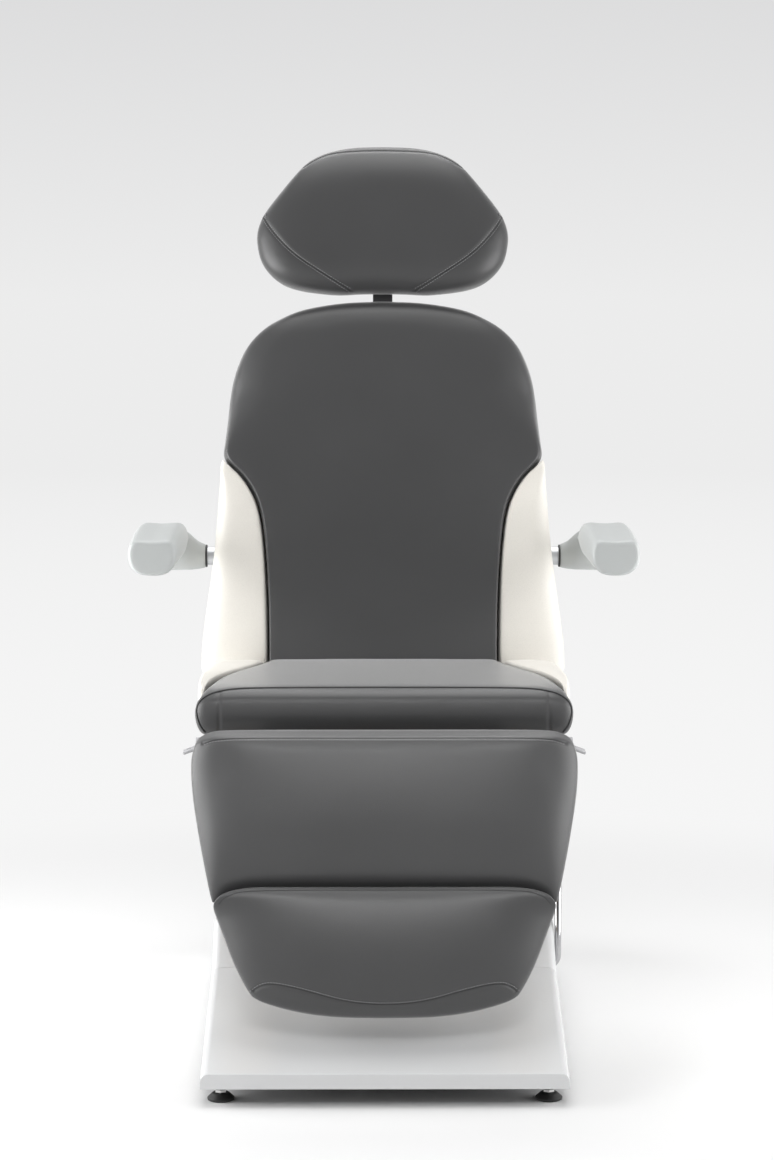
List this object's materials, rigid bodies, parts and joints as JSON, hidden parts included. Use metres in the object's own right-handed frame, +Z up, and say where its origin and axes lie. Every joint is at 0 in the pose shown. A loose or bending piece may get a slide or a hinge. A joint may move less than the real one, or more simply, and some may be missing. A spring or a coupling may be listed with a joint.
{
  "type": "treatment couch",
  "caption": "Motorised treatment couch in sitting pose: padded headrest, arched back, seat and leg rest, flip-up armrests, telescopic lift column on a low hooded base.",
  "frame": {"origin": "on the floor under the middle of the base", "axes": "+Z up, -Y out of the foot end, +X to the right of someone who faces the couch from its foot end"},
  "size_m": [0.863, 1.05, 1.5717],
  "materials": {
    "painted_steel": "dark satin powder coat",
    "plated_steel": "zinc plated",
    "chrome": "polished",
    "aluminium": "satin anodised",
    "hood_plastic": "glossy moulded",
    "arm_plastic": "satin moulded",
    "dark_plastic": "fine texture",
    "tab_plastic": "satin",
    "rubber": "matte",
    "plywood": "raw plywood",
    "grey_leather": "fine-grained leatherette",
    "cream_leather": "fine-grained leatherette"
  },
  "bodies": {
    "base": {"base_frame": "painted_steel", "front_hood": "hood_plastic", "rear_hood": "hood_plastic", "foot_rubber_front_left": "rubber", "foot_rubber_front_right": "rubber", "foot_rubber_rear_left": "rubber", "foot_rubber_rear_right": "rubber", "foot_stud_front_left": "plated_steel", "foot_stud_front_right": "plated_steel", "foot_stud_rear_left": "plated_steel", "foot_stud_rear_right": "plated_steel", "control_box": "dark_plastic", "power_inlet": "dark_plastic", "lever_bush": "dark_plastic", "column_outer": "painted_steel", "lift_motor": "painted_steel", "lift_screw": "plated_steel"},
    "lift_middle": {"column_middle": "aluminium"},
    "lift_inner": {"column_inner": "aluminium", "lift_nut": "painted_steel", "column_head": "painted_steel", "tilt_pin": "plated_steel", "tilt_actuator": "painted_steel"},
    "tilt_push": {"tilt_rod": "plated_steel"},
    "seat": {"seat_frame": "painted_steel", "back_hinge_shaft": "plated_steel", "leg_hinge_shaft": "plated_steel", "back_actuator": "painted_steel", "leg_actuator": "painted_steel", "seat_board": "plywood", "seat_cushion": "grey_leather", "seat_corner_left": "cream_leather", "seat_corner_right": "cream_leather"},
    "back": {"back_frame": "painted_steel", "back_board": "plywood", "back_cushion": "grey_leather", "back_panel_left": "cream_leather", "back_panel_right": "cream_leather", "back_shell": "dark_plastic", "stem_guide": "dark_plastic", "armrest_tube_left": "aluminium", "armrest_tube_right": "aluminium", "armrest_collar_left": "dark_plastic", "armrest_collar_right": "dark_plastic"},
    "back_push": {"back_rod": "plated_steel"},
    "stem": {"head_stem": "painted_steel"},
    "head": {"head_bracket": "painted_steel", "head_cushion": "grey_leather"},
    "arm_left": {"armrest_left": "arm_plastic"},
    "arm_right": {"armrest_right": "arm_plastic"},
    "leg": {"leg_frame": "painted_steel", "leg_board": "plywood", "leg_cushion": "grey_leather"},
    "leg_push": {"leg_rod": "plated_steel"},
    "foot": {"foot_frame": "plated_steel", "foot_board": "plywood", "foot_cushion": "grey_leather"},
    "tab_left": {"release_tab_left": "tab_plastic"},
    "tab_right": {"release_tab_right": "tab_plastic"},
    "lever": {"side_lever": "chrome"}
  },
  "joints": [
    {"name": "lift_lower", "type": "slide", "parent": "base", "child": "lift_middle", "axis": [0, 0, 1], "range_m": [0, 0.15]},
    {"name": "lift_upper", "type": "slide", "parent": "lift_middle", "child": "lift_inner", "axis": [0, 0, 1], "range_m": [0, 0.15]},
    {"name": "seat_tilt", "type": "hinge", "parent": "lift_inner", "child": "seat", "pos_m": [0, 0.02, 0.49], "axis": [-1, 0, 0], "range_deg": [0, 15]},
    {"name": "tilt_drive", "type": "slide", "parent": "lift_inner", "child": "tilt_push", "axis": [0, 0, 1], "range_m": [0, 0.036]},
    {"name": "back_recline", "type": "hinge", "parent": "seat", "child": "back", "pos_m": [0, 0.227, 0.56], "axis": [-1, 0, 0], "range_deg": [0, 75]},
    {"name": "back_drive", "type": "slide", "parent": "seat", "child": "back_push", "axis": [0, -1, 0], "range_m": [0, 0.0735]},
    {"name": "leg_raise", "type": "hinge", "parent": "seat", "child": "leg", "pos_m": [0, -0.32, 0.555], "axis": [-1, 0, 0], "range_deg": [0, 78]},
    {"name": "leg_drive", "type": "slide", "parent": "seat", "child": "leg_push", "axis": [0, -1, 0], "range_m": [0, 0.076]},
    {"name": "foot_extend", "type": "slide", "parent": "leg", "child": "foot", "axis": [0, -0.2079, -0.9781], "range_m": [0, 0.1005]},
    {"name": "head_height", "type": "slide", "parent": "back", "child": "stem", "axis": [0, 0.2588, 0.9659], "range_m": [0, 0.08]},
    {"name": "head_tilt", "type": "hinge", "parent": "stem", "child": "head", "pos_m": [0, 0.44441, 1.37138], "axis": [-1, 0, 0], "range_deg": [-8, 40]},
    {"name": "arm_left_flip", "type": "hinge", "parent": "back", "child": "arm_left", "pos_m": [-0.34, 0.29893, 0.813], "axis": [-1, 0, 0], "range_deg": [-60, 100]},
    {"name": "arm_right_flip", "type": "hinge", "parent": "back", "child": "arm_right", "pos_m": [0.34, 0.29893, 0.813], "axis": [-1, 0, 0], "range_deg": [-60, 100]},
    {"name": "tab_left_turn", "type": "hinge", "parent": "seat", "child": "tab_left", "pos_m": [-0.306, -0.32, 0.555], "axis": [1, 0, 0], "range_deg": [0, 15], "stiffness_Nm_per_rad": 0.4, "springref_deg": -5.73},
    {"name": "tab_right_turn", "type": "hinge", "parent": "seat", "child": "tab_right", "pos_m": [0.306, -0.32, 0.555], "axis": [1, 0, 0], "range_deg": [0, 15], "stiffness_Nm_per_rad": 0.4, "springref_deg": -5.73},
    {"name": "lever_swing", "type": "hinge", "parent": "base", "child": "lever", "pos_m": [0.29, -0.11, 0.13], "axis": [1, 0, 0], "range_deg": [-12, 12]}
  ],
  "couplings": [
    {"joint": "lift_upper", "follows": "lift_lower", "ratio": 1},
    {"joint": "tilt_drive", "follows": "seat_tilt", "m_per_rad": 0.13347},
    {"joint": "back_drive", "follows": "back_recline", "m_per_rad": 0.055807},
    {"joint": "leg_drive", "follows": "leg_raise", "m_per_rad": 0.055473},
    {"joint": "foot_extend", "follows": "leg_raise", "m_per_rad": 0.073456}
  ]
}
